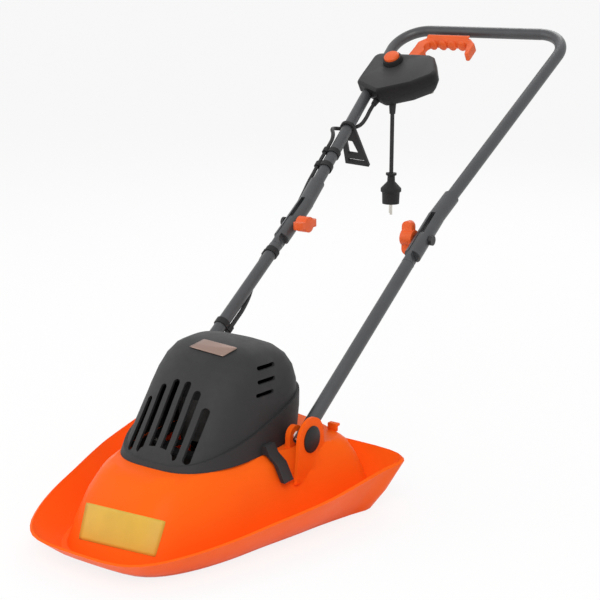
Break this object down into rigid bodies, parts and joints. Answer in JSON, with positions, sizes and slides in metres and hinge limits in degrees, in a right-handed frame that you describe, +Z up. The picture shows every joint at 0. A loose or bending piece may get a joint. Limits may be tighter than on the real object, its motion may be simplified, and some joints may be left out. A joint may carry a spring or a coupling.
{
  "type": "hover mower",
  "caption": "Electric hover mower: domed hood with a turned-up rim, vented motor cover, hidden fan and blade, and a folding tube handle with switch lever and mains pigtail.",
  "frame": {"origin": "where the blade axis meets the ground", "axes": "+Z up along the blade axis, front of the hood towards -Y, handle towards +Y, operator's left is +X"},
  "size_m": [0.4538, 1.1218, 0.6527],
  "materials": {
    "orange_hood": "moulded satin orange",
    "black_cover": "fine textured black",
    "orange_trim": "moulded orange",
    "dark_box": "textured dark grey",
    "black_tube": "satin black powder coat",
    "black_plastic": "moulded black",
    "zinc_steel": "zinc plated",
    "black_steel": "blackened",
    "bright_steel": "bare steel",
    "copper_parts": "enamelled copper",
    "brass_holder": "pressed brass",
    "carbon": "graphite",
    "yellow_film": "dipped",
    "white_bush": "nylon",
    "red_plunger": "moulded",
    "black_cord": "smooth rubber",
    "black_plug": "moulded rubber",
    "nickel_pins": "nickel plated"
  },
  "bodies": {
    "deck": {"hood": "orange_hood", "motor_cover": "black_cover", "cover_screws": "zinc_steel", "motor_plate": "black_plastic", "plate_screws": "zinc_steel", "stator": "bright_steel", "field_coils": "copper_parts", "upper_bracket": "black_plastic", "lower_bearing": "bright_steel", "upper_bearing": "bright_steel", "brush_holders": "brass_holder", "carbon_brushes": "carbon", "suppressor": "yellow_film", "lead_gland": "black_plastic", "lead_tail": "black_cord", "pivot_bolts": "zinc_steel", "pivot_caps": "black_plastic"},
    "rotor": {"shaft": "bright_steel", "armature": "copper_parts", "commutator": "copper_parts", "impeller": "black_plastic", "blade_spacer": "black_plastic", "blade": "bright_steel", "blade_washer": "zinc_steel", "blade_bolt": "zinc_steel"},
    "lower_handle": {"lower_tube_left": "black_tube", "lower_tube_right": "black_tube", "pivot_bushes": "white_bush", "lead_lower": "black_cord", "lower_clips": "black_plastic"},
    "upper_handle": {"upper_tube": "black_tube", "joint_left": "black_plastic", "joint_right": "black_plastic", "joint_bolts": "black_steel", "switch_base": "dark_box", "switch_top": "dark_box", "switch_screws": "zinc_steel", "microswitch": "black_plastic", "lever_pin": "zinc_steel", "lead_upper": "black_cord", "lead_joint": "black_cord", "upper_clips": "black_plastic", "lead_relief": "black_cord", "pigtail_relief": "black_cord", "pigtail_cord": "black_cord", "plug": "black_plug", "plug_pins": "nickel_pins", "button_collar": "black_plastic"},
    "knob_left_body": {"knob_left": "orange_trim"},
    "knob_right_body": {"knob_right": "orange_trim"},
    "lever": {"bail_lever": "orange_trim"},
    "plunger": {"switch_plunger": "red_plunger"},
    "lock": {"lock_button": "orange_trim"},
    "restraint": {"cable_restraint": "black_plastic"}
  },
  "joints": [
    {"name": "rotor_spin", "type": "hinge", "parent": "deck", "child": "rotor", "pos_m": [0, 0, 0.1], "axis": [0, 0, 1], "continuous": true},
    {"name": "handle_pivot", "type": "hinge", "parent": "deck", "child": "lower_handle", "pos_m": [0, 0.048, 0.118], "axis": [1, 0, 0], "range_deg": [0, 46]},
    {"name": "handle_fold", "type": "hinge", "parent": "lower_handle", "child": "upper_handle", "pos_m": [0, 0.38376, 0.34447], "axis": [1, 0, 0], "range_deg": [0, 150]},
    {"name": "knob_left_turn", "type": "hinge", "parent": "upper_handle", "child": "knob_left_body", "pos_m": [0.0985, 0.38376, 0.34447], "axis": [1, 0, 0], "continuous": true},
    {"name": "knob_right_turn", "type": "hinge", "parent": "upper_handle", "child": "knob_right_body", "pos_m": [-0.0985, 0.38376, 0.34447], "axis": [1, 0, 0], "continuous": true},
    {"name": "lever_squeeze", "type": "hinge", "parent": "upper_handle", "child": "lever", "pos_m": [-0.112, 0.72698, 0.57598], "axis": [0, -0.5592, 0.829], "range_deg": [0, 6], "stiffness_Nm_per_rad": 3},
    {"name": "plunger_slide", "type": "slide", "parent": "upper_handle", "child": "plunger", "axis": [1, 0, 0], "range_m": [0, 0.0026]},
    {"name": "lock_press", "type": "slide", "parent": "upper_handle", "child": "lock", "axis": [0, 0.5592, -0.829], "range_m": [0, 0.004], "stiffness_N_per_m": 400},
    {"name": "restraint_swing", "type": "hinge", "parent": "upper_handle", "child": "restraint", "pos_m": [-0.14238, 0.58691, 0.4815], "axis": [-0.0989, 0.825, 0.5565], "range_deg": [-20, 20]}
  ],
  "couplings": [
    {"joint": "plunger_slide", "follows": "lever_squeeze", "m_per_rad": 0.02}
  ]
}
